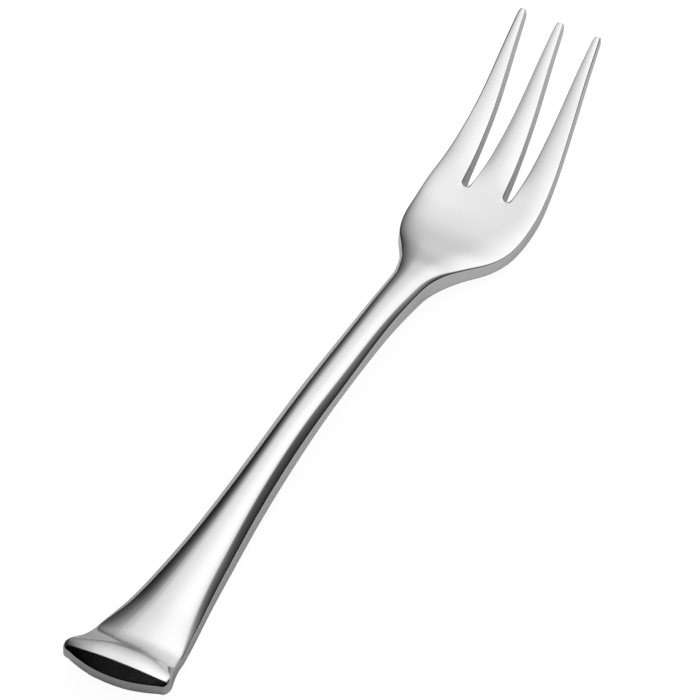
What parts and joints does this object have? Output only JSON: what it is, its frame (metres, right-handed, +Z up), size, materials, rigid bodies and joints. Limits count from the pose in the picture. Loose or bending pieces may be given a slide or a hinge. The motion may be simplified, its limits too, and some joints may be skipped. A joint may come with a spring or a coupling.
{
  "type": "oyster fork",
  "caption": "Small table fork with short tapering tines on a broad, gently dished head, a slim arched neck, and a flared handle that ends in a curled, grooved lip.",
  "frame": {"origin": "on the table under the middle of the fork, with the fork lying on its back as it rests", "axes": "+X along the fork from the handle's end to the tine tips, +Y to the left, +Z up"},
  "size_m": [0.1499, 0.02, 0.0212],
  "materials": {
    "steel": "polished"
  },
  "bodies": {
    "root": {"handle_end": "steel", "handle": "steel", "neck": "steel", "head": "steel", "tine_left": "steel", "tine_middle": "steel", "tine_right": "steel"}
  },
  "joints": []
}
